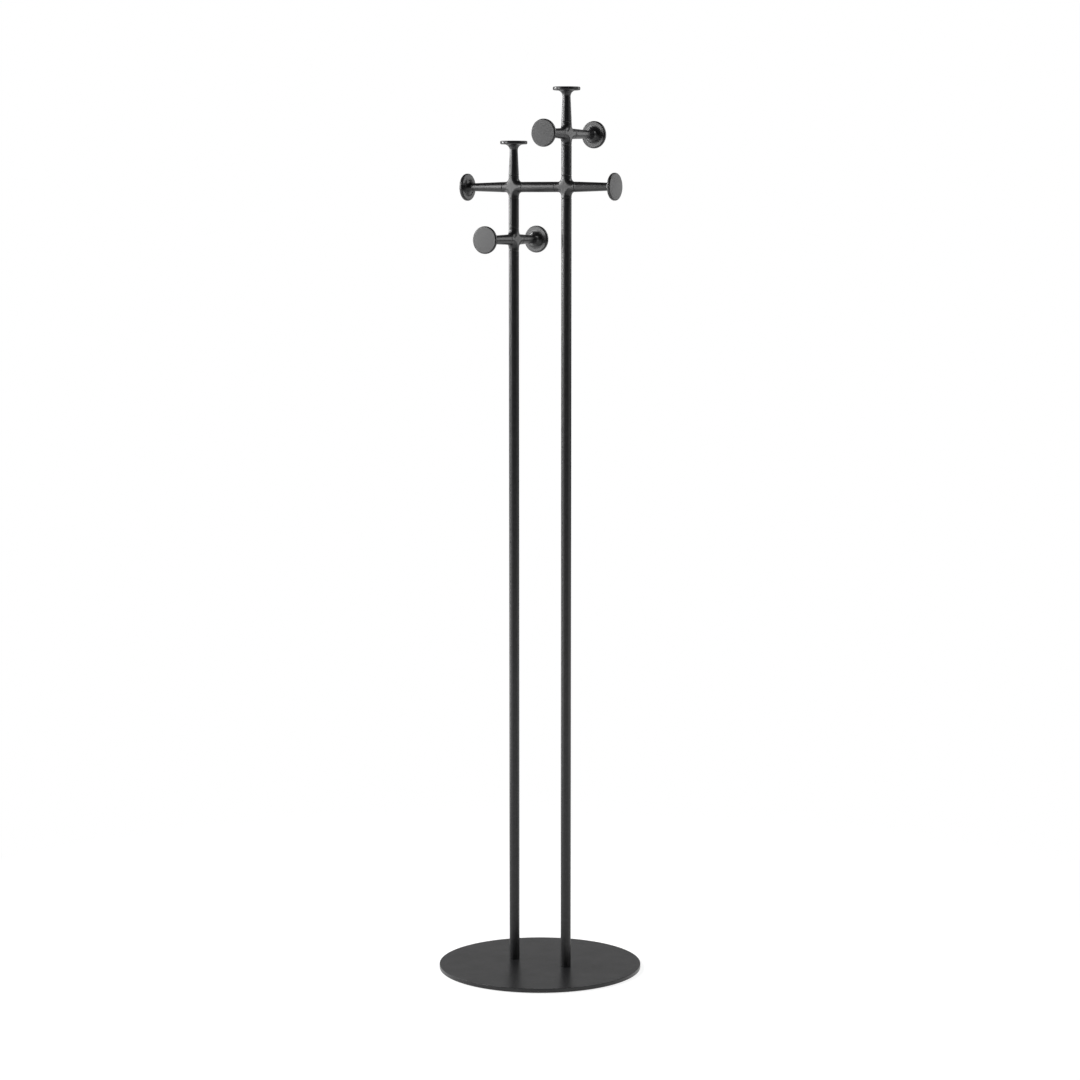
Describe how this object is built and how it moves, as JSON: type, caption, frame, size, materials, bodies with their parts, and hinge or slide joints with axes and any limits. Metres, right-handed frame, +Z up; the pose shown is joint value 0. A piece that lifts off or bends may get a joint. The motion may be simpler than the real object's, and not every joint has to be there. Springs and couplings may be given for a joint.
{
  "type": "standing coat rack",
  "caption": "Floor-standing coat rack: slim poles of unequal height on a round flat base, tied by a crossbar and carrying disc-ended trumpet pegs for coats and hats.",
  "frame": {"origin": "centre of the round base at floor level, on the underside of its felt pad", "axes": "+Z up along the poles; +X along the crossbar towards the taller pole; -Y is the front"},
  "size_m": [0.3999, 0.4, 1.7345],
  "materials": {
    "base_coat": "fine-textured satin powder coat",
    "frame_coat": "satin powder coat",
    "peg_coat": "satin powder coat",
    "zinc_steel": "bright zinc plating",
    "pad_felt": "pressed wool felt"
  },
  "bodies": {
    "root": {"base_plate": "base_coat", "base_pad": "pad_felt", "base_screws": "zinc_steel", "left_pole": "frame_coat", "left_foot_plug": "zinc_steel", "left_head_plug": "frame_coat", "right_pole": "frame_coat", "right_foot_plug": "zinc_steel", "right_head_plug": "frame_coat", "lower_left_cross": "frame_coat", "left_cross": "frame_coat", "right_cross": "frame_coat", "upper_right_cross": "frame_coat", "left_riser": "frame_coat", "right_riser": "frame_coat", "crossbar": "frame_coat", "left_top_peg": "peg_coat", "right_top_peg": "peg_coat", "left_end_peg": "peg_coat", "right_end_peg": "peg_coat", "upper_front_peg": "peg_coat", "upper_rear_peg": "peg_coat", "lower_front_peg": "peg_coat", "lower_rear_peg": "peg_coat", "peg_studs": "zinc_steel", "link_studs": "zinc_steel"}
  },
  "joints": []
}
